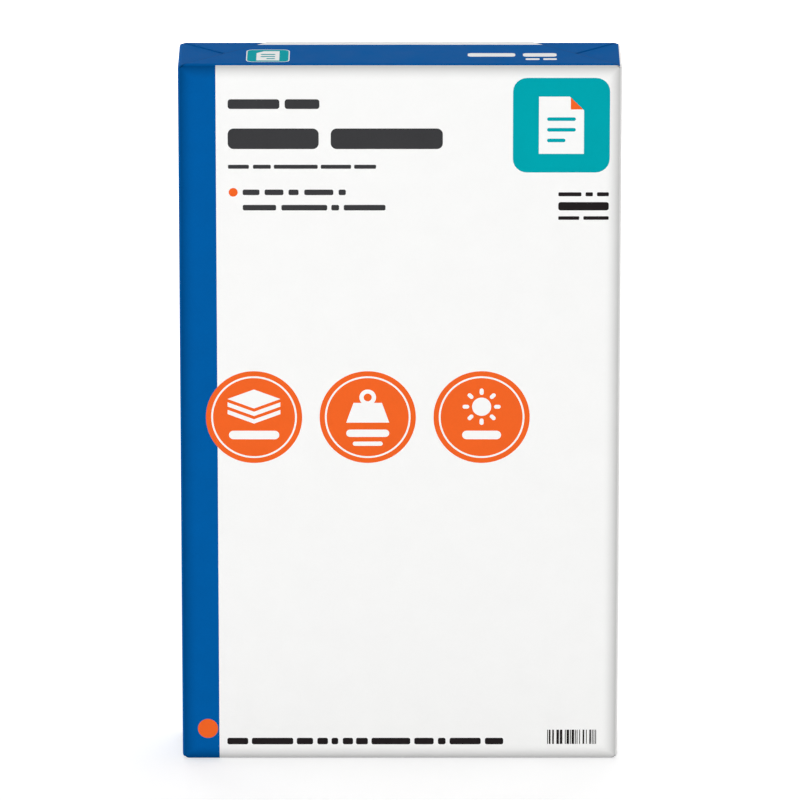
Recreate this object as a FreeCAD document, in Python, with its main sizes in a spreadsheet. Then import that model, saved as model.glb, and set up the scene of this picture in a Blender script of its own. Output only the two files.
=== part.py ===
import FreeCAD, Part
import math
import os
import Sketcher

# A sealed ream of legal-size paper in its folded wrapper, standing on its lower end.
# Millimetres: X runs across the width, Y from the front face to the back, Z up.
# The origin is on the ground under the middle of the pack.

NODE = "wrapped_ream"

# Driving dimensions: name, value, what it is.
SIZES = [
    ("sheet_width", 215.9, "width of one sheet"),
    ("sheet_length", 355.6, "length of one sheet"),
    ("stack_thickness", 45.0, "all the sheets pressed together"),
    ("wrapper_ply", 0.35, "one layer of wrapper with the air it traps"),
    ("fold_radius", 2.4, "outer radius of the folds round the front and the back"),
    ("corner_radius", 1.8, "outer radius of the end folds, seen from the front"),
    ("shoulder_width", 8.0, "soft strip beside a fold, on the front and the back"),
    ("shoulder_radius", 18.0, "radius of that soft strip"),
    ("flap_gap", 1.0, "bare strip between the outer flap and the far edge"),
    ("lap_width", 25.0, "overlap of the wrapper's two edges on the back"),
]

# Layers stacked on an end, counted from the paper outwards.
TUCK_LAYERS = 1
REAR_LAYERS = 2
FRONT_LAYERS = 2
END_LAYERS = TUCK_LAYERS + REAR_LAYERS + FRONT_LAYERS

# Overall sizes that follow from the driving ones.
WIDTH = "(sizes.sheet_width + 2 * sizes.wrapper_ply)"
DEPTH = "(sizes.stack_thickness + 2 * sizes.wrapper_ply)"
HEIGHT = f"(sizes.sheet_length + {2 * END_LAYERS} * sizes.wrapper_ply)"
BACK_SEAM = f"({DEPTH} / 2 + sizes.wrapper_ply)"
FLAP_REACH = f"({DEPTH} - sizes.flap_gap)"
# How far past the pack a trimming outline goes.
CLEAR = "(2 * sizes.shoulder_width)"


def make_sheet(doc):
    """The driving dimensions, one row each."""
    sheet = doc.addObject("Spreadsheet::Sheet", "sizes")
    for row, (name, value, meaning) in enumerate(SIZES, start=1):
        sheet.set(f"A{row}", meaning)
        sheet.set(f"B{row}", str(value))
        sheet.setAlias(f"B{row}", name)
    doc.recompute()
    return sheet


def make_sketch(body, name, plane, turn=0.0, lift=None):
    """An empty outline on one of the body's own planes, turned in it and lifted off it."""
    sketch = body.newObject("Sketcher::SketchObject", name)
    base = next(item for item in body.Origin.OriginFeatures if item.Role == plane)
    sketch.AttachmentSupport = [(base, "")]
    sketch.MapMode = "FlatFace"
    rotation = FreeCAD.Rotation(FreeCAD.Vector(0, 0, 1), turn)
    sketch.AttachmentOffset = FreeCAD.Placement(FreeCAD.Vector(0, 0, 0), rotation)
    if lift:
        sketch.setExpression(".AttachmentOffset.Base.z", lift)
    return sketch


def bind(sketch, constraint, expression):
    """Adds a constraint and ties its value to the sheet."""
    index = sketch.addConstraint(constraint)
    sketch.setExpression(f"Constraints[{index}]", expression)


def pin(sketch, kind, line, end, expression):
    """Ties one coordinate of a line's end to the sheet, on either side of the origin."""
    value = sketch.evalExpression(expression)
    if value < 0:
        bind(sketch, Sketcher.Constraint(kind, line, end, -1, 1, -value), f"-({expression})")
    else:
        bind(sketch, Sketcher.Constraint(kind, -1, 1, line, end, value), expression)


def add_polygon(sketch, corners):
    """A closed outline of straight lines, each corner given by two expressions."""
    points = [FreeCAD.Vector(*(sketch.evalExpression(text) for text in corner), 0) for corner in corners]
    first = sketch.GeometryCount
    count = len(points)
    for i in range(count):
        sketch.addGeometry(Part.LineSegment(points[i], points[(i + 1) % count]))
    for i, (across, up) in enumerate(corners):
        before = first + (i - 1) % count
        sketch.addConstraint(Sketcher.Constraint("Coincident", before, 2, first + i, 1))
        pin(sketch, "DistanceX", first + i, 1, across)
        pin(sketch, "DistanceY", first + i, 1, up)


def add_rolled_outline(sketch, length, low, high):
    """A long outline whose two faces roll off through soft shoulders into tight folds."""
    first = sketch.GeometryCount
    half = f"({length} / 2)"
    flat = f"({half} - sizes.shoulder_width)"
    end, start, bottom, top = (sketch.evalExpression(text) for text in (half, flat, low, high))
    shoulder = sketch.evalExpression("sizes.shoulder_radius")
    fold = sketch.evalExpression("sizes.fold_radius")
    # Centre of a fold: it touches the end line and the inside of the shoulder's circle.
    run = end - fold - start
    inset = shoulder - math.sqrt((shoulder - fold) ** 2 - run**2)
    turn = math.atan2(shoulder - inset, run)

    def arc(x, y, radius, first_angle, last_angle):
        circle = Part.Circle(FreeCAD.Vector(x, y, 0), FreeCAD.Vector(0, 0, 1), radius)
        return Part.ArcOfCircle(circle, first_angle, last_angle)

    def line(x1, y1, x2, y2):
        return Part.LineSegment(FreeCAD.Vector(x1, y1, 0), FreeCAD.Vector(x2, y2, 0))

    quarter = math.pi / 2
    sketch.addGeometry(
        [
            line(-start, bottom, start, bottom),
            arc(start, bottom + shoulder, shoulder, -quarter, -turn),
            arc(end - fold, bottom + inset, fold, -turn, 0),
            line(end, bottom + inset, end, top - inset),
            arc(end - fold, top - inset, fold, 0, turn),
            arc(start, top - shoulder, shoulder, turn, quarter),
            line(start, top, -start, top),
            arc(-start, top - shoulder, shoulder, quarter, math.pi - turn),
            arc(fold - end, top - inset, fold, math.pi - turn, math.pi),
            line(-end, top - inset, -end, bottom + inset),
            arc(fold - end, bottom + inset, fold, math.pi, math.pi + turn),
            arc(-start, bottom + shoulder, shoulder, math.pi + turn, 3 * quarter),
        ]
    )
    front, right, back, left = (first + i for i in (0, 3, 6, 9))
    shoulders, folds = ([first + i for i in places] for places in ((1, 5, 7, 11), (2, 4, 8, 10)))
    for i in range(12):
        sketch.addConstraint(Sketcher.Constraint("Tangent", first + i, 2, first + (i + 1) % 12, 1))
    for arcs, radius, size in ((shoulders, shoulder, "shoulder_radius"), (folds, fold, "fold_radius")):
        bind(sketch, Sketcher.Constraint("Radius", arcs[0], radius), f"sizes.{size}")
        for other in arcs[1:]:
            sketch.addConstraint(Sketcher.Constraint("Equal", arcs[0], other))
    for face in (front, back):
        sketch.addConstraint(Sketcher.Constraint("Horizontal", face))
    for side in (right, left):
        sketch.addConstraint(Sketcher.Constraint("Vertical", side))
    pin(sketch, "DistanceY", front, 1, low)
    pin(sketch, "DistanceY", back, 1, high)
    pin(sketch, "DistanceX", right, 1, half)
    pin(sketch, "DistanceX", left, 1, f"-{half}")
    for face, near, far in ((front, 1, 2), (back, 2, 1)):
        pin(sketch, "DistanceX", face, near, f"-{flat}")
        pin(sketch, "DistanceX", face, far, flat)


def add_rounded_rectangle(sketch, width, height):
    """A centred rectangle with rounded corners."""
    first = sketch.GeometryCount
    across, up = sketch.evalExpression(f"{width} / 2"), sketch.evalExpression(f"{height} / 2")
    corner = sketch.evalExpression("sizes.corner_radius")
    quarter = math.pi / 2
    signs = [(1, -1), (1, 1), (-1, 1), (-1, -1)]
    for i, (x, y) in enumerate(signs):
        centre = FreeCAD.Vector(x * (across - corner), y * (up - corner), 0)
        circle = Part.Circle(centre, FreeCAD.Vector(0, 0, 1), corner)
        start = (i - 1) * quarter
        sketch.addGeometry(Part.ArcOfCircle(circle, start, start + quarter))
    ends = [
        ((across, corner - up), (across, up - corner)),
        ((across - corner, up), (corner - across, up)),
        ((-across, up - corner), (-across, corner - up)),
        ((corner - across, -up), (across - corner, -up)),
    ]
    for start, end in ends:
        sketch.addGeometry(Part.LineSegment(FreeCAD.Vector(*start, 0), FreeCAD.Vector(*end, 0)))
    for i in range(4):
        arc, line, next_arc = first + i, first + 4 + i, first + (i + 1) % 4
        sketch.addConstraint(Sketcher.Constraint("Tangent", arc, 2, line, 1))
        sketch.addConstraint(Sketcher.Constraint("Tangent", line, 2, next_arc, 1))
    bind(sketch, Sketcher.Constraint("Radius", first, corner), "sizes.corner_radius")
    for i in (1, 2, 3):
        sketch.addConstraint(Sketcher.Constraint("Equal", first, first + i))
    for i in (0, 2):
        sketch.addConstraint(Sketcher.Constraint("Vertical", first + 4 + i))
        sketch.addConstraint(Sketcher.Constraint("Horizontal", first + 5 + i))
    pin(sketch, "DistanceX", first + 4, 1, f"{width} / 2")
    pin(sketch, "DistanceY", first + 5, 1, f"{height} / 2")
    pin(sketch, "DistanceX", first + 6, 1, f"-{width} / 2")
    pin(sketch, "DistanceY", first + 7, 1, f"-{height} / 2")


def add_frame(sketch):
    """A rectangle well outside the pack: what lies between it and an outline is trimmed away."""
    reach = f"({HEIGHT} / 2 + {CLEAR})"
    add_polygon(
        sketch,
        [
            (f"-{reach}", f"-{reach}"),
            (reach, f"-{reach}"),
            (reach, reach),
            (f"-{reach}", reach),
        ],
    )


def pad(body, name, sketch, length):
    """Raises an outline equally to both sides of its plane."""
    feature = body.newObject("PartDesign::Pad", name)
    feature.Profile = sketch
    feature.SideType = "Symmetric"
    feature.setExpression("Length", length)
    return feature


def pocket(body, name, sketch, depth, both_ways):
    """Cuts an outline away, down from its plane or to both sides of it."""
    feature = body.newObject("PartDesign::Pocket", name)
    feature.Profile = sketch
    feature.SideType = "Symmetric" if both_ways else "One side"
    feature.setExpression("Length", depth)
    return feature


def make_block(body):
    """The wrapped stack as one long bar, with the overlap raised along its back."""
    section = make_sketch(body, "section", "XY_Plane")
    add_rolled_outline(section, WIDTH, f"-{DEPTH} / 2", f"{DEPTH} / 2")
    pad(body, "stack", section, HEIGHT)
    lap = make_sketch(body, "lap_section", "XY_Plane")
    side = "sizes.lap_width / 2"
    inner = f"{DEPTH} / 2 - sizes.wrapper_ply"
    add_polygon(lap, [(f"-{side}", inner), (side, inner), (side, BACK_SEAM), (f"-{side}", BACK_SEAM)])
    pad(body, "back_lap", lap, HEIGHT)


def trim_ends(body):
    """Rounds the bar off towards both ends, seen from the side and then from the front."""
    profile = make_sketch(body, "side_profile", "YZ_Plane", turn=90.0)
    add_frame(profile)
    add_rolled_outline(profile, HEIGHT, f"-{BACK_SEAM}", f"{DEPTH} / 2")
    pocket(body, "side_trim", profile, f"{WIDTH} + {CLEAR}", True)
    corners = make_sketch(body, "front_profile", "XZ_Plane")
    add_frame(corners)
    add_rounded_rectangle(corners, WIDTH, HEIGHT)
    pocket(body, "corner_trim", corners, f"{DEPTH} + {CLEAR}", True)


def fold_ends(body):
    """Steps each end down to the layer that shows: front flap, rear flap, side tucks."""
    left, right = f"-{WIDTH} / 2", f"{WIDTH} / 2"
    front, back = f"-{DEPTH} / 2", f"{DEPTH} / 2"
    end_plane = f"{HEIGHT} / 2"
    past = f"({WIDTH} / 2 + {CLEAR})"
    behind = f"({BACK_SEAM} + {CLEAR})"

    around = make_sketch(body, "around_front_flap", "XY_Plane", lift=end_plane)
    edge = f"{front} + {FLAP_REACH}"
    add_polygon(
        around,
        [
            (left, front),
            (f"{left} + {FLAP_REACH}", edge),
            (f"{right} - {FLAP_REACH}", edge),
            (right, front),
            (past, front),
            (past, behind),
            (f"-{past}", behind),
            (f"-{past}", front),
        ],
    )
    front_flap = pocket(body, "front_flap", around, f"{FRONT_LAYERS} * sizes.wrapper_ply", False)

    sides = make_sketch(body, "beside_rear_flap", "XY_Plane", lift=end_plane)
    for sign in ("-", ""):
        outer = f"{sign}{past}"
        corner = f"{sign}({WIDTH} / 2)"
        crossing = f"{sign}(({WIDTH} - {DEPTH}) / 2)"
        add_polygon(sides, [(corner, front), (crossing, "0"), (corner, back), (outer, back), (outer, front)])
    side_depth = f"{FRONT_LAYERS + REAR_LAYERS} * sizes.wrapper_ply"
    rear_flap = pocket(body, "rear_flap", sides, side_depth, False)

    lower_end = body.newObject("PartDesign::Mirrored", "lower_end")
    lower_end.Originals = [front_flap, rear_flap]
    middle = next(item for item in body.Origin.OriginFeatures if item.Role == "XY_Plane")
    lower_end.MirrorPlane = (middle, [""])
    body.Tip = lower_end


def make_ream(doc):
    """The whole pack: one solid, built about its middle, then centred and stood on the ground."""
    body = doc.addObject("PartDesign::Body", NODE)
    body.Label = NODE
    make_block(body)
    trim_ends(body)
    fold_ends(body)
    body.setExpression(".Placement.Base.y", f"({DEPTH} / 2 - {BACK_SEAM}) / 2")
    body.setExpression(".Placement.Base.z", f"{HEIGHT} / 2")
    return body


def check(doc, body):
    """Stops if anything failed, or if a cut or a fold took nothing away."""
    for item in doc.Objects:
        if "Invalid" in item.State or "Error" in item.State:
            raise RuntimeError(f"{item.Name} failed: {item.State}")
    shape = body.Shape
    if shape.isNull() or not shape.isValid() or len(shape.Solids) != 1:
        raise RuntimeError("the pack isn't one valid solid")
    steps = ("back_lap", "side_trim", "corner_trim", "front_flap", "rear_flap", "lower_end")
    for before, after in zip(steps, steps[1:]):
        taken = doc.getObject(before).Shape.Volume - doc.getObject(after).Shape.Volume
        if taken <= 0:
            raise RuntimeError(f"{after} took nothing away")


def main():
    doc = FreeCAD.newDocument("ream")
    make_sheet(doc)
    body = make_ream(doc)
    doc.recompute()
    check(doc, body)
    os.makedirs("parts", exist_ok=True)
    body.Shape.exportStep(f"parts/{body.Label}.step")


main()
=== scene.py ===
import math

import bpy
import numpy as np
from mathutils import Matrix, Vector, geometry, noise


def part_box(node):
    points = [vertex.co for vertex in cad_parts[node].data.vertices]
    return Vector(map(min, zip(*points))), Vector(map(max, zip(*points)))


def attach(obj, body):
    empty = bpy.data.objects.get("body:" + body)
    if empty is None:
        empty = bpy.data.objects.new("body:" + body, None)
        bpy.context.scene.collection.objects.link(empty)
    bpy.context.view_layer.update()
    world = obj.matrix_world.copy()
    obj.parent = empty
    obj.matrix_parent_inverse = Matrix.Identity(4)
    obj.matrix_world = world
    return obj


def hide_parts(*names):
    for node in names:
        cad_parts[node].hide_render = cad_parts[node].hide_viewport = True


# A sealed ream of paper in its printed wrapper, standing on its lower end.
# Lengths are in millimetres here and turn into metres when a mesh is written.
# X runs across the width, Y from the front to the back, Z up.

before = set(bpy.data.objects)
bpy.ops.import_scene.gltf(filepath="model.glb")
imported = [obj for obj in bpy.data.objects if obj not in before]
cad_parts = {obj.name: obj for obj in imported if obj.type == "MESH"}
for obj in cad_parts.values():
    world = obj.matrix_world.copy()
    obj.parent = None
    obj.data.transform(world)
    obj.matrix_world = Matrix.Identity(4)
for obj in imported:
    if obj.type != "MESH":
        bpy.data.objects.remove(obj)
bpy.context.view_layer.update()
MM = 0.001
NODE = "wrapped_ream"
BODY = "root"

# The pack, from the solid that it stands for, and the height of one layer of its wrapper.
node_low, node_high = (np.round(np.array(corner) / MM, 3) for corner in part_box(NODE))
PLY = 0.35
HALF_WIDTH = node_high[0]
HEIGHT = node_high[2]
FRONT = node_low[1]
# The lap on the back stands out past the back face by a layer.
BACK = node_high[1] - PLY
HALF_DEPTH = (BACK - FRONT) / 2
HALF = np.array([HALF_WIDTH, HALF_DEPTH, HEIGHT / 2])
MIDDLE = np.array([0.0, (FRONT + BACK) / 2, HEIGHT / 2])
# Points of the plain box count as on a face within this distance.
ON_FACE = 0.01

# Soft edges, as in the solid.
FOLD_RADIUS = 2.4
CORNER_RADIUS = 1.8
SHOULDER_WIDTH = 8.0
SHOULDER_RADIUS = 18.0
EDGE_BLEND = 0.2
# How often the way from inside to the surface is halved to find it.
HALVINGS = 30

# End folds: the outer flap comes over from the front and covers the one from the back.
FLAP_GAP = 1.0
FLAP_REACH = 2 * HALF_DEPTH - FLAP_GAP
TUCK_PLIES, REAR_PLIES, FRONT_PLIES = 1, 2, 2
END_PLIES = TUCK_PLIES + REAR_PLIES + FRONT_PLIES
# The folded ends are pressed flat, so a layer shows less than its full height there.
PRESSED_PLY = 0.22
# How a folded edge rises: distance inside the edge, share of the full height.
STEP_AT = (-0.05, 0.05, 0.25, 0.6)
STEP_HEIGHT = (0.0, 0.72, 0.93, 1.0)
# How far down the faces the ends' layers still pull the wrapper in.
END_PULL = 40.0

# The wrapper's overlap on the back: a cut edge on one side, a soft rise on the other.
LAP_HALF = 12.5
LAP_CUT = 0.1
LAP_SOFT = 1.6

# The paper's unevenness on the faces, near the ends and on the flaps: its height, the size of its
# features and its own place in the noise.
FACE_SWAY = (0.10, (60, 60, 110), 3.1)
NEAR_END_SWAY = (0.09, (14, 14, 40), 11.7)
FLAP_SWAY = (0.09, (24, 14, 26), 23.3)
# The share of the faces' unevenness that is left at the ends, how far from an end it is full, and
# how far the flaps sink in.
FACE_SWAY_AT_ENDS = 0.4
NEAR_END = 30.0
FLAP_SINK = 0.14

# The greyer margin of painted shade along the folds, on the broad faces and on the narrow ones.
TONE_DEPTH = 0.40
TONE_FALL = 1.4
TONE_WIDTH = 7.5
TONE_WIDTH_NARROW = 2.5
# The darker line of painted shadow beside the overlap's cut edge.
LAP_TONE = 0.13
LAP_SHADE = 0.7
# The darker lines of painted shade and shadow along the flaps' edges, and how far they fade inside and
# outside an edge.
FRONT_FLAP_TONE = 0.5
REAR_FLAP_TONE = 0.2
FLAP_CREASE = 1.3
FLAP_SHADE = 0.6

# Printed fields: the blue band on the broad faces, how far the blue of an end stays inside its
# folds, and the white margin along the outer flap's free edge.
BAND_WIDTH = 18.4
TOP_PRINT_INSET = FLAP_GAP
LOWER_PRINT_INSET = 2.6
FLAP_MARGIN = 7.0

# Colours as they look under plain light, red green blue out of 255.
PAPER_WHITE = (247, 247, 246)
INK_BLUE = (0, 90, 162)
INK_ORANGE = (241, 101, 39)
INK_TEAL = (0, 163, 173)
INK_GREY = (60, 60, 62)
INK_BLACK = (35, 31, 32)


def linear(colour):
    """A colour out of 255 as the linear values that shaders take."""
    share = np.array(colour) / 255.0
    values = np.where(share <= 0.04045, share / 12.92, ((share + 0.055) / 1.055) ** 2.4)
    return (*[float(value) for value in values], 1.0)


def smooth(value):
    """Eases 0 to 1, flat at both ends."""
    value = np.clip(value, 0.0, 1.0)
    return value * value * (3 - 2 * value)


# The outer form


def rolled(along, across, half_long, half_thick):
    """Distance outside an outline whose long faces roll off into tight folds."""
    start = half_long - SHOULDER_WIDTH
    run = half_long - FOLD_RADIUS - start
    inset = SHOULDER_RADIUS - math.sqrt((SHOULDER_RADIUS - FOLD_RADIUS) ** 2 - run**2)
    turn = math.atan2(SHOULDER_RADIUS - inset, run)
    fold_u, fold_v = along - (half_long - FOLD_RADIUS), across - (half_thick - inset)
    in_fold = np.arctan2(fold_v, fold_u) < turn
    shoulder = np.hypot(along - start, across - (half_thick - SHOULDER_RADIUS)) - SHOULDER_RADIUS
    fold = np.hypot(fold_u, np.maximum(fold_v, 0)) - FOLD_RADIUS
    side = along - half_long
    distance = np.where(along < start, across - half_thick, shoulder)
    distance = np.where((along >= start) & in_fold, fold, distance)
    return np.where((along >= start) & (fold_v <= 0), side, distance)


def rounded(along, across, half_long, half_thick):
    """Distance outside a rectangle with round corners."""
    u = along - (half_long - CORNER_RADIUS)
    v = across - (half_thick - CORNER_RADIUS)
    outside = np.hypot(np.maximum(u, 0), np.maximum(v, 0))
    return outside + np.minimum(np.maximum(u, v), 0) - CORNER_RADIUS


def soft_max(first, second):
    """The larger of two values, rounded off where they are close."""
    overlap = np.maximum(EDGE_BLEND - np.abs(first - second), 0) / EDGE_BLEND
    return np.maximum(first, second) + overlap**2 * EDGE_BLEND / 4


def outside_pack(points):
    """Distance outside the pack's soft-edged form."""
    x, y, z = np.abs(points - MIDDLE).T
    section = rolled(x, y, HALF[0], HALF[1])
    profile = rolled(z, y, HALF[2], HALF[1])
    outline = rounded(x, z, HALF[0], HALF[2])
    # On a flat face two of the three are equal, which lifts the result by a quarter of the blend.
    return soft_max(soft_max(section, profile), outline) - EDGE_BLEND / 4


def anchors(points):
    """The nearest point of a smaller box inside the pack, from which the form is reached."""
    inner = HALF - SHOULDER_WIDTH
    return MIDDLE + np.clip(points - MIDDLE, -inner, inner)


def on_form(points):
    """Moves points of the plain box onto the soft-edged form, along lines from inside."""
    inside = anchors(points)
    ray = points - inside
    low, high = np.zeros(len(points)), np.ones(len(points))
    for _ in range(HALVINGS):
        half_way = (low + high) / 2
        out = outside_pack(inside + ray * half_way[:, None]) > 0
        high = np.where(out, half_way, high)
        low = np.where(out, low, half_way)
    placed = inside + ray * low[:, None]
    return placed, ray / np.linalg.norm(ray, axis=1)[:, None]


# Relief: end folds, overlap and the paper's own unevenness


def flap_inside(points):
    """How far each point lies inside the front flap and the rear flap of its end."""
    from_side = HALF_WIDTH - np.abs(points[:, 0])
    from_front, from_back = points[:, 1] - FRONT, BACK - points[:, 1]
    diagonal = math.sqrt(2)
    front = np.minimum((from_side - from_front) / diagonal, FLAP_REACH - from_front)
    rear = np.minimum((from_side - from_back) / diagonal, FLAP_REACH - from_back)
    return front, rear


def end_drop(points):
    """How far an end's surface lies below the outer flap, and how much of it shows."""
    front, rear = flap_inside(points)
    in_front = np.interp(front, STEP_AT, STEP_HEIGHT)
    in_rear = np.interp(rear, STEP_AT, STEP_HEIGHT)
    below = TUCK_PLIES + REAR_PLIES * in_rear
    return PRESSED_PLY * (END_PLIES - (below + (END_PLIES - below) * in_front))


def lap_rise(points):
    """Height of the overlap on the back."""
    x = points[:, 0]
    cut = np.clip((x + LAP_HALF) / LAP_CUT, 0, 1)
    soft = smooth((LAP_HALF - x) / LAP_SOFT)
    return PLY * cut * soft


def sway(points, height, size, place):
    """Smooth noise of about that height either way, with features of about that size."""
    scale = 1.0 / np.array(size)
    return height * np.array([noise.noise(Vector(p * scale + place)) for p in points])


def unevenness(points):
    """How far the wrapper stands off a perfect form, in all directions."""
    from_end = np.minimum(points[:, 2], HEIGHT - points[:, 2])
    calm = smooth(from_end / NEAR_END)
    broad = sway(points, *FACE_SWAY) * (FACE_SWAY_AT_ENDS + (1 - FACE_SWAY_AT_ENDS) * calm)
    near_ends = sway(points, *NEAR_END_SWAY) * (1 - calm)
    flaps = sway(points, *FLAP_SWAY) - FLAP_SINK
    return np.where(from_end < ON_FACE, flaps, broad + near_ends)


def from_fold(points):
    """Distance of a point on the plain box from the nearest edge of its face."""
    inside = HALF - np.abs(points - MIDDLE)
    face = np.argmin(inside, axis=1)
    inside[np.arange(len(points)), face] = np.inf
    return np.min(inside, axis=1)


def on_pack(points, lift=0.0):
    """Puts points of the plain box onto the finished surface, or a little above it."""
    placed, outward = on_form(points)
    top = points[:, 2] > MIDDLE[2]
    from_end = np.where(top, HEIGHT - points[:, 2], points[:, 2])
    drop = end_drop(points) * smooth(1 - from_end / END_PULL)
    placed[:, 2] += np.where(top, -drop, drop)
    placed[:, 1] += lap_rise(points) * smooth(outward[:, 1])
    free = np.clip(from_fold(points) / SHOULDER_WIDTH, 0, 1)
    offset = unevenness(points) * free + lift
    return placed + outward * offset[:, None]


def along_edge(inside):
    """Strength of the painted shade by a flap's edge: one on the edge, falling to nothing on both sides
    of it.
    """
    return np.interp(inside, (-FLAP_SHADE, 0.0, FLAP_CREASE), (0.0, 1.0, 0.0))


def painted_edge_shade(points):
    """Share of its colour that the wrapper keeps under painted shade: greyer near the folds, beside the
    lap's cut edge and along the flaps' edges.
    """
    # Painted shade near the folds, deepest on a fold and gone a little way in, where the faces roll away
    # from the light.
    broad = HALF[1] - np.abs(points[:, 1] - MIDDLE[1]) < ON_FACE
    beside = np.minimum(points[:, 1] - FRONT, BACK - points[:, 1])
    near = np.where(broad, from_fold(points) / TONE_WIDTH, beside / TONE_WIDTH_NARROW)
    tone = 1 - TONE_DEPTH * np.clip(1 - near, 0, 1) ** TONE_FALL
    # Painted shadow beside the lap's cut edge on the back.
    beside_cut = np.abs(points[:, 0] + LAP_HALF) / LAP_SHADE
    on_back = points[:, 1] > BACK - ON_FACE
    tone -= np.where(on_back, LAP_TONE * np.clip(1 - beside_cut, 0, 1), 0)
    # Painted shade and shadow along the flaps' edges on both ends, stronger at the outer flap's edges.
    front, rear = flap_inside(points)
    on_end = np.minimum(points[:, 2], HEIGHT - points[:, 2]) < ON_FACE
    rear_line = np.where(front < 0, REAR_FLAP_TONE * along_edge(rear), 0)
    return tone - np.where(on_end, np.maximum(FRONT_FLAP_TONE * along_edge(front), rear_line), 0)


# Mesh building

# The grid of the box: its spacing over a broad face and over a narrow one, its lines beside an
# edge, and how close to a fixed line it has none of its own.
FACE_GRID = 2.5
NARROW_GRID = 2.0
EDGE_GRID = (0, 0.5, 1.0, 1.5, 2.0, 2.6, 3.3, 4.2, 5.2, 6.5, SHOULDER_WIDTH)
GRID_CLEARANCE = 0.24
# The spacing of points along a flap's edge, and where its line leaves its corner.
LINE_STEP = 1.5
CORNER_LEAD = 0.9
# Flat points closer than this are one point.
SAME_POINT = 1e-5
# A triangle under this area, in square millimetres, only bridges points that lie in line.
SLIVER = 0.001
# Edges sharper than this many degrees aren't smoothed over.
SHARP_ANGLE = 40.0


def inside_outlines(points, outlines):
    """True where a point lies inside an odd number of closed outlines."""
    odd = np.zeros(len(points), bool)
    x, y = points[:, 0], points[:, 1]
    for outline in outlines:
        for (x1, y1), (x2, y2) in zip(outline, np.roll(outline, -1, axis=0)):
            if y1 == y2:
                continue
            crosses = (y1 > y) != (y2 > y)
            odd ^= crosses & (x < x1 + (y - y1) * (x2 - x1) / (y2 - y1))
    return odd


def triangulate(points, edges):
    """Triangles over flat points that keep every edge given."""
    flat = [Vector((float(x), float(y))) for x, y in points]
    made = geometry.delaunay_2d_cdt(flat, edges, [], 0, SAME_POINT)
    return np.array([(v.x, v.y) for v in made[0]]), [tuple(face) for face in made[2]]


def spaced(low, high, step, extra=()):
    """Coordinates from low to high, close together near both ends, through the extra ones."""
    start, stop = low + EDGE_GRID[-1], high - EDGE_GRID[-1]
    count = max(1, round((stop - start) / step))
    values = [low + d for d in EDGE_GRID] + [high - d for d in EDGE_GRID]
    values += list(np.linspace(start, stop, count + 1))
    kept = [v for v in values if all(abs(v - e) > GRID_CLEARANCE for e in extra)]
    return np.array(sorted(set(np.round(kept + list(extra), 5))))


def grid_faces(columns, rows, corner):
    """Quads of a grid; corner turns a column and a row into a point of the box."""
    points = np.array([corner(u, v) for u in columns for v in rows])
    count = len(rows)
    faces = [
        (i * count + j, (i + 1) * count + j, (i + 1) * count + j + 1, i * count + j + 1)
        for i in range(len(columns) - 1)
        for j in range(count - 1)
    ]
    return points, faces


def end_lines():
    """The lines along which the flap edges step, in the plane of an end."""
    lines = []
    # The rear flap's slanting edges run on until they are under the front flap.
    crossing = HALF_DEPTH + 1.0
    # Besides the steps, lines where the painted shade along an edge ends.
    for inside in (-FLAP_SHADE, *STEP_AT, FLAP_CREASE):
        slant = inside * math.sqrt(2)
        near = CORNER_LEAD + max(0, -slant)
        for side in (-1, 1):
            for edge, towards, reach in ((FRONT, 1, FLAP_REACH - inside), (BACK, -1, crossing)):
                lines.append([
                    (side * HALF_WIDTH, edge),
                    (side * (HALF_WIDTH - near - slant), edge + towards * near),
                    (side * (HALF_WIDTH - reach - slant), edge + towards * reach),
                ])
        side, level = HALF_WIDTH - FLAP_REACH + inside - slant, FRONT + FLAP_REACH - inside
        lines.append([(-side, level), (side, level)])
    margin = FRONT + FLAP_REACH - FLAP_MARGIN
    side = HALF_WIDTH - FLAP_REACH + FLAP_MARGIN
    lines.append([(-side, margin), (side, margin)])
    return [divided(line, LINE_STEP) for line in lines]


def print_borders():
    """The rectangles that the blue of the upper and of the lower end fills."""
    borders = []
    for inset in (TOP_PRINT_INSET, LOWER_PRINT_INSET):
        side, front, back = HALF_WIDTH - inset, FRONT + inset, BACK - inset
        borders.append([(-side, front), (side, front), (side, back), (-side, back), (-side, front)])
    return borders


def divided(line, step):
    """A line with extra points, so that no stretch of it is longer than a step."""
    points = [line[0]]
    for start, stop in zip(line, line[1:]):
        count = math.ceil(math.dist(start, stop) / step)
        shares = np.arange(1, count + 1)[:, None] / count
        points += [tuple(p) for p in np.array(start) + shares * (np.array(stop) - np.array(start))]
    return points


def end_faces(columns, rows, level):
    """One end of the box, its grid cut along every line where a flap steps or the print ends."""
    lines = end_lines()
    drawn = np.vstack(lines)
    points = []
    for x in columns:
        for y in rows:
            on_border = x in (columns[0], columns[-1]) or y in (rows[0], rows[-1])
            if on_border or np.min(np.hypot(drawn[:, 0] - x, drawn[:, 1] - y)) > LINE_STEP / 2:
                points.append((x, y))
    edges = []
    for line in lines + print_borders():
        first = len(points)
        points += line
        edges += [(first + i, first + i + 1) for i in range(len(line) - 1)]
    flat, faces = triangulate(points, edges)
    boxed = np.column_stack([flat, np.full(len(flat), level)])
    return boxed, faces


def weld(parts):
    """Joins several point and face lists into one, sharing equal points."""
    points = np.vstack([part[0] for part in parts])
    faces, first = [], 0
    for part_points, part_faces in parts:
        faces += [tuple(first + i for i in face) for face in part_faces]
        first += len(part_points)
    keys = np.round(points, 4)
    _, keep, new = np.unique(keys, axis=0, return_index=True, return_inverse=True)
    new = new.reshape(-1)
    welded = [tuple(dict.fromkeys(int(new[i]) for i in face)) for face in faces]
    return points[keep], [face for face in welded if len(face) > 2]


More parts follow.
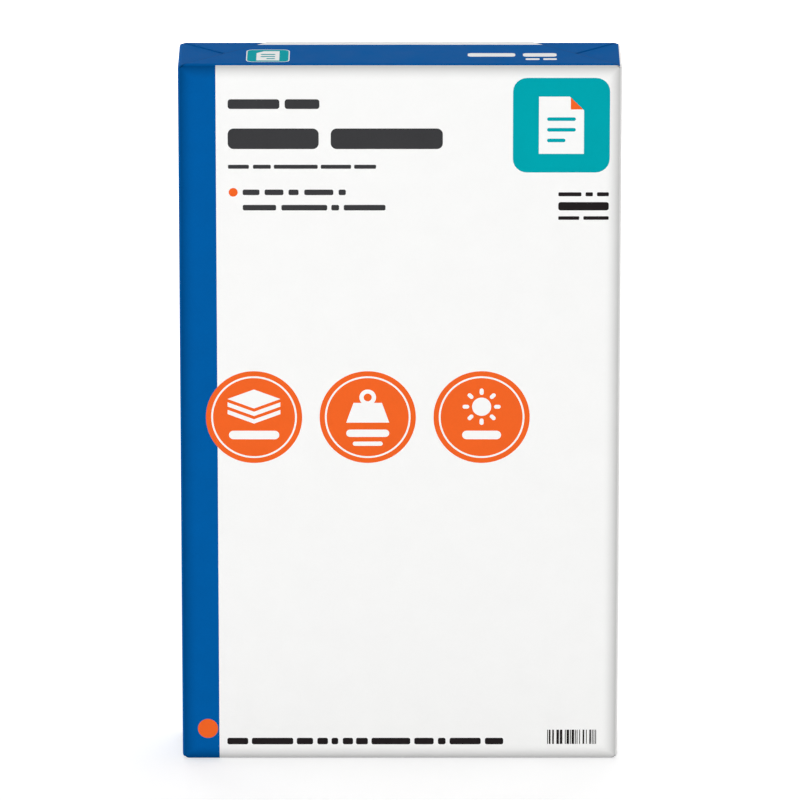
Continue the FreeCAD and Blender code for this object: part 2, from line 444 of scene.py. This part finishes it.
def face_outwards(points, faces):
    """Turns each face so that it looks away from the pack's middle."""
    turned = []
    for face in faces:
        a, b, c = (points[i] for i in face[:3])
        centre = np.mean([points[i] for i in face], axis=0)
        inside = anchors(centre[None])[0]
        if np.dot(np.cross(b - a, c - b), centre - inside) < 0:
            face = face[::-1]
        turned.append(face)
    return turned


def make_object(name, points, faces, materials, indices=None):
    """A mesh object in metres, smooth but for its sharp edges, riding on the pack."""
    mesh = bpy.data.meshes.new(name)
    mesh.from_pydata([tuple(p * MM) for p in points], [], faces)
    for material in materials:
        mesh.materials.append(material)
    if indices is not None:
        mesh.polygons.foreach_set("material_index", indices)
    mesh.polygons.foreach_set("use_smooth", [True] * len(mesh.polygons))
    mesh.set_sharp_from_angle(angle=math.radians(SHARP_ANGLE))
    mesh.validate()
    mesh.update()
    piece = bpy.data.objects.new(name, mesh)
    bpy.context.scene.collection.objects.link(piece)
    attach(piece, BODY)
    return piece


# Materials

# The point attribute that holds the wrapper's painted shade.
PAINTED_SHADE_NAME = "painted_edge_shade"
CLOUD_SIZE, CLOUD_DETAIL = 14.0, 3.0
FIBRE_SIZE, FIBRE_DETAIL = 0.9, 4.0
FIBRE_SHARE = 0.45
FIBRE_HEIGHT = 0.02
FIBRE_STRENGTH = 0.25
# Noise stays mostly between these values.
NOISE_LOW, NOISE_HIGH = 0.3, 0.7
ROUGHNESS = 0.55
ROUGHNESS_SPREAD = 0.05
PAPER_MOTTLE = 0.012
PAPER_GLOSS = 0.1
INK_GLOSS = 0.01


def add_noise(nodes, links, coordinates, size_mm, detail):
    """A noise texture with features of about that size."""
    texture = nodes.new("ShaderNodeTexNoise")
    texture.inputs["Scale"].default_value = 1.0 / (size_mm * MM)
    texture.inputs["Detail"].default_value = detail
    links.new(coordinates.outputs["Object"], texture.inputs["Vector"])
    return texture


def add_range(nodes, links, source, low, high):
    """Maps a noise's middle values to a range."""
    mapped = nodes.new("ShaderNodeMapRange")
    mapped.inputs["From Min"].default_value = NOISE_LOW
    mapped.inputs["From Max"].default_value = NOISE_HIGH
    mapped.inputs["To Min"].default_value = low
    mapped.inputs["To Max"].default_value = high
    links.new(source, mapped.inputs["Value"])
    return mapped


def printed_paper(name, colour, mottle, gloss, with_painted_shade=False):
    """Coated paper or ink on it: cloudy tone, fine fibres and a satin surface."""
    material = bpy.data.materials.new(name)
    material.use_nodes = True
    nodes, links = material.node_tree.nodes, material.node_tree.links
    shader = nodes["Principled BSDF"]
    coordinates = nodes.new("ShaderNodeTexCoord")
    clouds = add_noise(nodes, links, coordinates, CLOUD_SIZE, CLOUD_DETAIL)
    fibres = add_noise(nodes, links, coordinates, FIBRE_SIZE, FIBRE_DETAIL)
    tone = nodes.new("ShaderNodeMix")
    tone.data_type = "FLOAT"
    tone.inputs["Factor"].default_value = FIBRE_SHARE
    links.new(clouds.outputs["Fac"], tone.inputs["A"])
    links.new(fibres.outputs["Fac"], tone.inputs["B"])
    share = add_range(nodes, links, tone.outputs["Result"], 0.0, 1.0)
    blend = nodes.new("ShaderNodeMix")
    blend.data_type = "RGBA"
    mean = linear(colour)[:3]
    blend.inputs["A"].default_value = (*[c * (1 - mottle) for c in mean], 1.0)
    blend.inputs["B"].default_value = (*[min(1.0, c * (1 + mottle)) for c in mean], 1.0)
    links.new(share.outputs["Result"], blend.inputs["Factor"])
    colour_out = blend.outputs["Result"]
    # The painted shade along the wrapper's folds, lap and flap edges darkens its colour here.
    if with_painted_shade:
        margin = nodes.new("ShaderNodeAttribute")
        margin.attribute_name = PAINTED_SHADE_NAME
        shade = nodes.new("ShaderNodeMix")
        shade.data_type = "RGBA"
        shade.blend_type = "MULTIPLY"
        shade.inputs["Factor"].default_value = 1.0
        links.new(colour_out, shade.inputs["A"])
        links.new(margin.outputs["Fac"], shade.inputs["B"])
        colour_out = shade.outputs["Result"]
    links.new(colour_out, shader.inputs["Base Color"])
    low, high = ROUGHNESS - ROUGHNESS_SPREAD, ROUGHNESS + ROUGHNESS_SPREAD
    satin = add_range(nodes, links, clouds.outputs["Fac"], low, high)
    links.new(satin.outputs["Result"], shader.inputs["Roughness"])
    bump = nodes.new("ShaderNodeBump")
    bump.inputs["Strength"].default_value = FIBRE_STRENGTH
    bump.inputs["Distance"].default_value = FIBRE_HEIGHT * MM
    links.new(fibres.outputs["Fac"], bump.inputs["Height"])
    links.new(bump.outputs["Normal"], shader.inputs["Normal"])
    shader.inputs["Specular IOR Level"].default_value = gloss
    return material


# The wrapper


def wrapper_blue(centres):
    """True where the wrapper is printed blue: left side with its bands, and both ends."""
    x, y, z = centres.T
    left = x < -HALF_WIDTH + BAND_WIDTH
    deep = np.minimum.reduce([HALF_WIDTH - np.abs(x), y - FRONT, BACK - y])
    on_top = (z > HEIGHT - ON_FACE) & (deep > TOP_PRINT_INSET)
    on_end = on_top | ((z < ON_FACE) & (deep > LOWER_PRINT_INSET))
    between_sides = HALF_WIDTH - np.abs(x) - (y - FRONT) > STEP_AT[0] * math.sqrt(2)
    margin = on_end & between_sides & (y > FRONT + FLAP_REACH - FLAP_MARGIN)
    return (left | on_end) & ~margin


def make_wrapper(white, blue):
    """The closed skin: four faces, two folded ends, in white paper and blue print."""
    insets = (TOP_PRINT_INSET, LOWER_PRINT_INSET)
    # Columns along the lap, one of them where the painted shadow beside its cut edge ends.
    lap = (-LAP_HALF - LAP_SHADE, -LAP_HALF, -LAP_HALF + LAP_CUT, LAP_HALF - LAP_SOFT, LAP_HALF)
    sides = [side * (HALF_WIDTH - inset) for inset in insets for side in (-1, 1)]
    columns = spaced(-HALF_WIDTH, HALF_WIDTH, FACE_GRID, (-HALF_WIDTH + BAND_WIDTH, *lap, *sides))
    edges = [edge for inset in insets for edge in (FRONT + inset, BACK - inset)]
    depths = spaced(FRONT, BACK, NARROW_GRID, edges)
    levels = spaced(0.0, HEIGHT, FACE_GRID)
    parts = [
        grid_faces(columns, levels, lambda x, z: (x, FRONT, z)),
        grid_faces(columns, levels, lambda x, z: (x, BACK, z)),
        grid_faces(depths, levels, lambda y, z: (-HALF_WIDTH, y, z)),
        grid_faces(depths, levels, lambda y, z: (HALF_WIDTH, y, z)),
        end_faces(columns, depths, 0.0),
        end_faces(columns, depths, HEIGHT),
    ]
    box, faces = weld(parts)
    faces = face_outwards(box, faces)
    centres = np.array([np.mean(box[list(face)], axis=0) for face in faces])
    indices = wrapper_blue(centres).astype(int)
    piece = make_object("wrapper", on_pack(box), faces, [white, blue], indices)
    # Painted shade at each point of the wrapper, which its materials multiply into their colour.
    tone = piece.data.attributes.new(PAINTED_SHADE_NAME, "FLOAT", "POINT")
    tone.data.foreach_set("value", painted_edge_shade(box))
    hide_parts(NODE)
    return piece


# Printed shapes: outlines in millimetres on the flat sheet

CORNER_TURNS = 6


def circle(x, y, radius, count=120):
    """A round outline."""
    angles = np.linspace(0, 2 * math.pi, count, endpoint=False)
    return np.column_stack([x + radius * np.cos(angles), y + radius * np.sin(angles)])


def bar(x1, y1, x2, y2, radius=None):
    """A rectangle with round corners, given by two opposite corners."""
    low_x, high_x, low_y, high_y = min(x1, x2), max(x1, x2), min(y1, y2), max(y1, y2)
    if radius is None:
        radius = 0.5 * min(high_x - low_x, high_y - low_y)
    corners = [(high_x, high_y), (low_x, high_y), (low_x, low_y), (high_x, low_y)]
    points = []
    for i, (x, y) in enumerate(corners):
        centre_x = x - radius if x == high_x else x + radius
        centre_y = y - radius if y == high_y else y + radius
        for k in range(CORNER_TURNS + 1):
            angle = (i + k / CORNER_TURNS) * math.pi / 2
            points.append((centre_x + radius * math.cos(angle), centre_y + radius * math.sin(angle)))
    keys = dict.fromkeys((round(px, 4), round(py, 4)) for px, py in points)
    return np.array(list(keys))


def turned(outline, x, y, degrees):
    """An outline turned about a point."""
    angle = math.radians(degrees)
    spin = np.array([[math.cos(angle), math.sin(angle)], [-math.sin(angle), math.cos(angle)]])
    return (outline - (x, y)) @ spin + (x, y)


def front_box(flat):
    """Places on the front, from its left and top edges, as points of the box."""
    return np.column_stack([flat[:, 0] - HALF_WIDTH, np.full(len(flat), FRONT), HEIGHT - flat[:, 1]])


def end_box(level):
    """Places on an end, from its left and front edges, as points of the box."""
    def place(flat):
        return np.column_stack([flat[:, 0] - HALF_WIDTH, FRONT + flat[:, 1], np.full(len(flat), level)])
    return place


# A printed area's upper and lower side, from the wrapper's surface, and the spacing of its points.
INK_TOP = 0.05
INK_FOOT = -0.05
PRINT_GRID = 3.0


def make_print(name, shapes, place, material, layer=0):
    """Printed areas as thin closed sheets that follow the wrapper; layer 1 lies over layer 0."""
    all_points, all_faces = [], []
    for outlines in shapes:
        points, edges = [], []
        for outline in outlines:
            closed = divided([tuple(p) for p in (*outline, outline[0])], PRINT_GRID)[:-1]
            first, count = len(points), len(closed)
            points += closed
            edges += [(first + i, first + (i + 1) % count) for i in range(count)]
        border = np.array(points)
        low, high = border.min(0), border.max(0)
        xs = np.arange(low[0] + PRINT_GRID / 2, high[0], PRINT_GRID)
        ys = np.arange(low[1] + PRINT_GRID / 2, high[1], PRINT_GRID)
        inner = np.array([(x, y) for x in xs for y in ys]).reshape(-1, 2)
        if len(inner):
            gap = np.min(np.linalg.norm(inner[:, None] - border[None], axis=2), axis=1)
            inner = inner[inside_outlines(inner, outlines) & (gap > PRINT_GRID / 4)]
            points += [tuple(p) for p in inner]
        flat, faces = triangulate(points, edges)
        corners = flat[np.array(faces)]
        (ax, ay), (bx, by) = (corners[:, 1] - corners[:, 0]).T, (corners[:, 2] - corners[:, 0]).T
        kept = inside_outlines(corners.mean(1), outlines) & (np.abs(ax * by - ay * bx) / 2 > SLIVER)
        faces = [face for face, keep in zip(faces, kept) if keep]
        add_slab(flat, faces, place, layer, all_points, all_faces)
    return make_object(name, np.vstack(all_points), all_faces, [material])


def add_slab(flat, faces, place, layer, all_points, all_faces):
    """Gives a flat patch its thickness: an upper side, a lower side and an edge all round."""
    used = sorted({i for face in faces for i in face})
    new = {old: i for i, old in enumerate(used)}
    faces = [tuple(new[i] for i in face) for face in faces]
    box = place(flat[used])
    first, count = sum(len(p) for p in all_points), len(used)
    upper = on_pack(box, INK_TOP * (1 + layer))
    lower = on_pack(box, INK_FOOT)
    a, b, c = (box[i] for i in faces[0])
    centre = (a + b + c) / 3
    if np.dot(np.cross(b - a, c - b), centre - anchors(centre[None])[0]) < 0:
        faces = [face[::-1] for face in faces]
    sides = {}
    for face in faces:
        for i, j in zip(face, face[1:] + face[:1]):
            if (j, i) in sides:
                del sides[(j, i)]
            else:
                sides[(i, j)] = True
    all_points += [upper, lower]
    all_faces += [tuple(first + i for i in face) for face in faces]
    all_faces += [tuple(first + count + i for i in face[::-1]) for face in faces]
    all_faces += [(first + i, first + count + i, first + count + j, first + j) for i, j in sides]


# Front print: places from the left and top edges of the front

# Each line: top, bottom, then where each stroke starts and ends.
TITLE_LINES = (
    (17.4, 22.3, ((24.3, 49.5), (52.1, 69.0))),
    (32.2, 42.6, ((24.2, 68.6), (74.5, 129.2))),
    (50.6, 52.6, ((24.3, 34.5), (36.5, 45.2), (46.7, 68.1), (69.6, 84.4), (85.9, 96.6))),
    (63.2, 66.0, ((31.4, 39.6), (42.1, 51.3), (53.8, 58.7), (61.5, 75.7), (78.3, 81.8))),
    (71.0, 73.8, ((31.4, 47.7), (50.3, 72.7), (74.7, 78.5), (80.8, 101.2))),
)
FOOT_LINES = (
    (347.5, 350.9, (
        (22.3, 32.7), (34.5, 55.1), (56.9, 65.0), (67.1, 72.4), (74.2, 77.5), (79.8, 84.9),
        (86.4, 92.3), (94.1, 113.4), (115.4, 125.1), (127.2, 131.0), (133.0, 148.5), (150.6, 159.7),
    )),
    (64.6, 66.6, ((185.7, 197.0), (199.0, 202.6), (204.6, 210.4))),
    (69.6, 73.8, ((185.7, 210.4),)),
    (76.8, 78.6, ((185.7, 196.0), (198.0, 210.4))),
)
STROKE_ROUNDING = 0.28
BAR_PATTERN = (181.6, 343.2, 206.9, 350.7)
BAR_UNIT = 0.42
BAR_WIDTHS = (1, 2, 1, 3, 2, 1, 1)
BAR_GAPS = (1, 1, 2, 1, 3)
DISC_LEVEL = 179.9
DISC_RADIUS = 23.7
DISC_CENTRES = (36.4, 92.4, 148.5)
RING_OUTER, RING_INNER = 21.1, 20.2
PANEL = (163.4, 6.6, 210.7, 54.5)
PANEL_CORNER = 6.9
# A page sign: half its width and height and its turned-down corner; then the top, thickness,
# pitch and half length of its lines, and where the last line ends.
PANEL_PAGE = (11.0, 14.5, 7.0)
PANEL_PAGE_LINES = (-4.0, 1.8, 5.4, 7.0, 2.0)
# Two orange dots: their places, radii and numbers of corners.
DOTS = ((26.75, 64.6, 2.2, 40), (12.7, 342.5, 5.0, 60))


def stroke_shapes(lines):
    """One round-ended stroke for each word of each line."""
    return [
        [bar(start, top, end, bottom, STROKE_ROUNDING * (bottom - top))]
        for top, bottom, strokes in lines
        for start, end in strokes
    ]


def page_sign(x, y, page, lines):
    """A page with a turned-down corner and three lines on it: its outline, then theirs."""
    half, high, corner = page
    top, thick, pitch, reach, last = lines
    outline = np.array([
        (x - half, y - high), (x + half - corner, y - high), (x + half, y - high + corner),
        (x + half, y + high), (x - half, y + high),
    ])
    return [outline] + [
        bar(x - reach, y + top + pitch * i, x + end, y + top + thick + pitch * i)
        for i, end in enumerate((reach, reach, last))
    ]


def sheets_sign(x, y):
    """A stack of sheets seen from a corner: a lozenge over the edges of two more."""
    wide, high, gap, thick = 13.0, 4.9, 1.7, 2.2
    top = y - 9.4
    shapes = [[np.array([(x - wide, top), (x, top - high), (x + wide, top), (x, top + high)])]]
    for i in (1, 2):
        low = top + gap * i + thick * (i - 1)
        shapes.append([np.array([
            (x - wide, low), (x, low + high), (x + wide, low), (x + wide, low + thick),
            (x, low + high + thick), (x - wide, low + thick),
        ])])
    return shapes


def weight_sign(x, y):
    """A scale weight: a flared block with a round handle over it."""
    ring, hole, ring_level = 4.1, 2.0, y - 10.2
    top, top_half, foot, foot_half = y - 7.4, 7.0, y + 2.8, 10.6
    start = math.asin((top - ring_level) / ring)
    angles = np.linspace(math.pi - start, 2 * math.pi + start, 30)
    handle = np.column_stack([x + ring * np.cos(angles), ring_level + ring * np.sin(angles)])
    block = [(x + top_half, top), (x + foot_half, foot), (x - foot_half, foot), (x - top_half, top)]
    return [[np.vstack([handle, block]), circle(x, ring_level, hole, 32)]]


def sun_sign(x, y):
    """A bright sun: a disc with short rays round it."""
    level, disc = y - 5.4, 4.7
    rays, ray_half, ray_from, ray_to = 8, 1.0, 6.1, 9.4
    ray = bar(x - ray_half, level - ray_to, x + ray_half, level - ray_from)
    shapes = [[circle(x, level, disc, 48)]]
    for i in range(rays):
        shapes.append([turned(ray, x, level, 360.0 / rays * i)])
    return shapes


# What stands under each sign: top, bottom and half the width of each stroke.
SIGN_STROKES = (
    ((7.0, 11.4, 12.4),),
    ((6.4, 10.2, 10.6), (12.6, 14.8, 7.4)),
    ((7.0, 11.4, 9.6),),
)


def make_discs(inks):
    """Three round fields, each with a fine ring, a sign and strokes under it."""
    fields = [[circle(x, DISC_LEVEL, DISC_RADIUS)] for x in DISC_CENTRES]
    make_print("front_discs", fields, front_box, inks["orange"])
    marks = []
    for x, sign, strokes in zip(DISC_CENTRES, (sheets_sign, weight_sign, sun_sign), SIGN_STROKES):
        ring = [circle(x, DISC_LEVEL, RING_OUTER), circle(x, DISC_LEVEL, RING_INNER)]
        marks += [ring] + sign(x, DISC_LEVEL)
        for top, bottom, half in strokes:
            marks.append([bar(x - half, DISC_LEVEL + top, x + half, DISC_LEVEL + bottom)])
    make_print("disc_marks", marks, front_box, inks["white"], layer=1)


def make_panel(inks):
    """The square field in the corner, with a page left white in it, and the orange marks."""
    left, top, right, bottom = PANEL
    x, y = (left + right) / 2, (top + bottom) / 2
    panel = [bar(*PANEL, PANEL_CORNER)] + page_sign(x, y, PANEL_PAGE, PANEL_PAGE_LINES)
    make_print("front_panel", [panel], front_box, inks["teal"])
    half, high, corner = PANEL_PAGE
    near, far, gap = 0.4, 0.5, corner - 0.5
    fold = np.array([
        (x + half - corner + far, y - high + near), (x + half - near, y - high + gap),
        (x + half - corner + far, y - high + gap),
    ])
    marks = [[fold]] + [[circle(*dot)] for dot in DOTS]
    make_print("orange_marks", marks, front_box, inks["orange"])


def make_bar_pattern(inks):
    """A plain row of thin and thick bars."""
    left, top, right, bottom = BAR_PATTERN
    bars, x, i = [], left, 0
    while True:
        wide = BAR_UNIT * BAR_WIDTHS[(i * i + i // 3) % len(BAR_WIDTHS)]
        if x + wide > right:
            break
        bars.append([np.array([(x, top), (x + wide, top), (x + wide, bottom), (x, bottom)])])
        x += wide + BAR_UNIT * BAR_GAPS[(2 * i + i // 4) % len(BAR_GAPS)]
        i += 1
    make_print("bar_pattern", bars, front_box, inks["black"])


def make_front_print(inks):
    """Everything printed on the front over the white paper."""
    make_discs(inks)
    make_panel(inks)
    make_print("title_strokes", stroke_shapes(TITLE_LINES), front_box, inks["grey"])
    make_print("foot_strokes", stroke_shapes(FOOT_LINES), front_box, inks["black"])
    make_bar_pattern(inks)


# End print: places from the left and front edges of an end

END_PANEL = (33.2, 5.6, 54.4, 28.2)
END_PANEL_CORNER = 3.4
END_PANEL_RIM = 0.5
END_PAGE = (5.6, 8.4, 3.6)
END_PAGE_LINES = (-3.2, 1.6, 3.8, 3.6, 0.8)
END_LINES = (
    (15.6, 21.8, ((141.4, 164.6), (168.4, 184.8))),
    (9.4, 12.4, ((169.6, 176.4), (178.2, 184.8))),
)


def make_end_print(name, level, inks):
    """The small panel and the strokes on the outer flap of an end."""
    place = end_box(level)
    left, near, right, far = END_PANEL
    rim = END_PANEL_RIM
    outer = bar(*END_PANEL, END_PANEL_CORNER)
    inner = bar(left + rim, near + rim, right - rim, far - rim, END_PANEL_CORNER - rim)
    x, y = (left + right) / 2, (near + far) / 2
    # The end is printed to be read from behind the pack.
    page = [turned(outline, x, y, 180.0) for outline in page_sign(x, y, END_PAGE, END_PAGE_LINES)]
    strokes = stroke_shapes(END_LINES)
    make_print(f"{name}_white", [[outer, inner], page] + strokes, place, inks["white"])
    make_print(f"{name}_panel", [[inner] + page], place, inks["teal"])


# Camera, light and floor

CAMERA_DISTANCE = 4500.0
CAMERA_ELEVATION = 17.5
CAMERA_AIM = 180.8
CAMERA_LENS = 409.1
# Lamps stand so many metres from the pack. Each one: name, azimuth and elevation in degrees, width
# and height in metres, power in watts, and the share of it that glossy surfaces show.
LAMP_DISTANCE = 3.0
LAMPS = (
    ("front", -8.0, 9.0, 2.2, 0.9, 60.0, 1.0),
    ("right_side", 112.0, 9.0, 1.6, 0.9, 34.0, 0.2),
    ("left_side", -112.0, 9.0, 1.6, 0.9, 34.0, 0.2),
    ("above", 180.0, 57.0, 2.2, 2.2, 40.0, 0.0),
)
SKY_STRENGTH = 0.3
# The floor: its tone, and its glow for the camera, which rises to white between two distances.
FLOOR_TONE = 0.6
FLOOR_HALF_SIZE = 40.0
GLOW_FROM, GLOW_TO = 0.25, 1.2
GLOW_LOW, GLOW_HIGH = 0.56, 1.0


def make_camera():
    """A long lens in front of the pack, looking down on it a little."""
    data = bpy.data.cameras.new("camera")
    data.lens = CAMERA_LENS
    data.clip_end = 100.0
    camera = bpy.data.objects.new("camera", data)
    bpy.context.scene.collection.objects.link(camera)
    elevation = math.radians(CAMERA_ELEVATION)
    back = Vector((0.0, -math.cos(elevation), math.sin(elevation)))
    camera.location = Vector((0.0, 0.0, CAMERA_AIM * MM)) + back * CAMERA_DISTANCE * MM
    camera.rotation_mode = "QUATERNION"
    camera.rotation_quaternion = (-back).to_track_quat("-Z", "Y")
    bpy.context.scene.camera = camera


def add_lamp(name, azimuth, elevation, wide, high, power, gloss):
    """A soft lamp that shines at the pack; azimuth 0 is in front, 90 on the right."""
    data = bpy.data.lights.new(name, "AREA")
    data.shape = "RECTANGLE"
    data.size, data.size_y = wide, high
    data.energy = power
    data.specular_factor = gloss
    lamp = bpy.data.objects.new(name, data)
    bpy.context.scene.collection.objects.link(lamp)
    turn, rise = math.radians(azimuth), math.radians(elevation)
    towards = Vector((math.sin(turn) * math.cos(rise), -math.cos(turn) * math.cos(rise), math.sin(rise)))
    lamp.location = Vector((0.0, 0.0, HEIGHT / 2 * MM)) + towards * LAMP_DISTANCE
    lamp.rotation_mode = "QUATERNION"
    lamp.rotation_quaternion = (-towards).to_track_quat("-Z", "Y")


def make_lights():
    """A broad lamp in front, one on each side and one behind and above, under a soft sky."""
    for lamp in LAMPS:
        add_lamp(*lamp)
    world = bpy.data.worlds.new("world")
    bpy.context.scene.world = world
    world.use_nodes = True
    nodes, links = world.node_tree.nodes, world.node_tree.links
    nodes.clear()
    output = nodes.new("ShaderNodeOutputWorld")
    sky = nodes.new("ShaderNodeBackground")
    sky.inputs["Color"].default_value = (1.0, 1.0, 1.0, 1.0)
    sky.inputs["Strength"].default_value = SKY_STRENGTH
    seen = nodes.new("ShaderNodeBackground")
    seen.inputs["Color"].default_value = (1.0, 1.0, 1.0, 1.0)
    seen.inputs["Strength"].default_value = 1.0
    mix = nodes.new("ShaderNodeMixShader")
    links.new(rays_that_see_white(nodes, links), mix.inputs["Fac"])
    links.new(sky.outputs["Background"], mix.inputs[1])
    links.new(seen.outputs["Background"], mix.inputs[2])
    links.new(mix.outputs["Shader"], output.inputs["Surface"])


def rays_that_see_white(nodes, links):
    """One for rays from the camera, mirror rays and rays through glass, else nothing."""
    path = nodes.new("ShaderNodeLightPath")
    total = path.outputs["Is Camera Ray"]
    for name in ("Is Glossy Ray", "Is Transmission Ray"):
        either = nodes.new("ShaderNodeMath")
        either.operation = "MAXIMUM"
        links.new(total, either.inputs[0])
        links.new(path.outputs[name], either.inputs[1])
        total = either.outputs["Value"]
    return total


def make_floor():
    """A plain pale floor, white for the camera, that keeps a soft shadow round the pack."""
    size = FLOOR_HALF_SIZE
    mesh = bpy.data.meshes.new("floor")
    corners = [(-size, -size, 0), (size, -size, 0), (size, size, 0), (-size, size, 0)]
    mesh.from_pydata(corners, [], [(0, 1, 2, 3)])
    floor = bpy.data.objects.new("floor", mesh)
    bpy.context.scene.collection.objects.link(floor)
    material = bpy.data.materials.new("floor")
    material.use_nodes = True
    nodes, links = material.node_tree.nodes, material.node_tree.links
    nodes.clear()
    output = nodes.new("ShaderNodeOutputMaterial")
    matte = nodes.new("ShaderNodeBsdfDiffuse")
    matte.inputs["Color"].default_value = (FLOOR_TONE, FLOOR_TONE, FLOOR_TONE, 1.0)
    coordinates = nodes.new("ShaderNodeTexCoord")
    distance = nodes.new("ShaderNodeVectorMath")
    distance.operation = "LENGTH"
    links.new(coordinates.outputs["Object"], distance.inputs[0])
    level = nodes.new("ShaderNodeMapRange")
    level.inputs["From Min"].default_value = GLOW_FROM
    level.inputs["From Max"].default_value = GLOW_TO
    level.inputs["To Min"].default_value = GLOW_LOW
    level.inputs["To Max"].default_value = GLOW_HIGH
    links.new(distance.outputs["Value"], level.inputs["Value"])
    seen = nodes.new("ShaderNodeMath")
    seen.operation = "MULTIPLY"
    links.new(rays_that_see_white(nodes, links), seen.inputs[0])
    links.new(level.outputs["Result"], seen.inputs[1])
    glow = nodes.new("ShaderNodeEmission")
    links.new(seen.outputs["Value"], glow.inputs["Strength"])
    add = nodes.new("ShaderNodeAddShader")
    links.new(matte.outputs["BSDF"], add.inputs[0])
    links.new(glow.outputs["Emission"], add.inputs[1])
    links.new(add.outputs["Shader"], output.inputs["Surface"])
    mesh.materials.append(material)


def main():
    """The whole scene: camera, light and floor, then the wrapper and its print."""
    bpy.context.scene.view_settings.view_transform = "Standard"
    make_camera()
    make_lights()
    make_floor()
    inks = {
        "white": printed_paper("ink_white", PAPER_WHITE, PAPER_MOTTLE, PAPER_GLOSS),
        "orange": printed_paper("ink_orange", INK_ORANGE, 0.03, INK_GLOSS),
        "teal": printed_paper("ink_teal", INK_TEAL, 0.03, INK_GLOSS),
        "grey": printed_paper("ink_grey", INK_GREY, 0.06, INK_GLOSS),
        "black": printed_paper("ink_black", INK_BLACK, 0.08, INK_GLOSS),
    }
    # Both wrapper materials take the painted shade along the folds and edges.
    white = printed_paper("wrapper_white", PAPER_WHITE, PAPER_MOTTLE, PAPER_GLOSS, with_painted_shade=True)
    blue = printed_paper("wrapper_blue", INK_BLUE, 0.05, INK_GLOSS, with_painted_shade=True)
    make_wrapper(white, blue)
    make_front_print(inks)
    make_end_print("top_end", HEIGHT, inks)
    make_end_print("lower_end", 0.0, inks)


main()
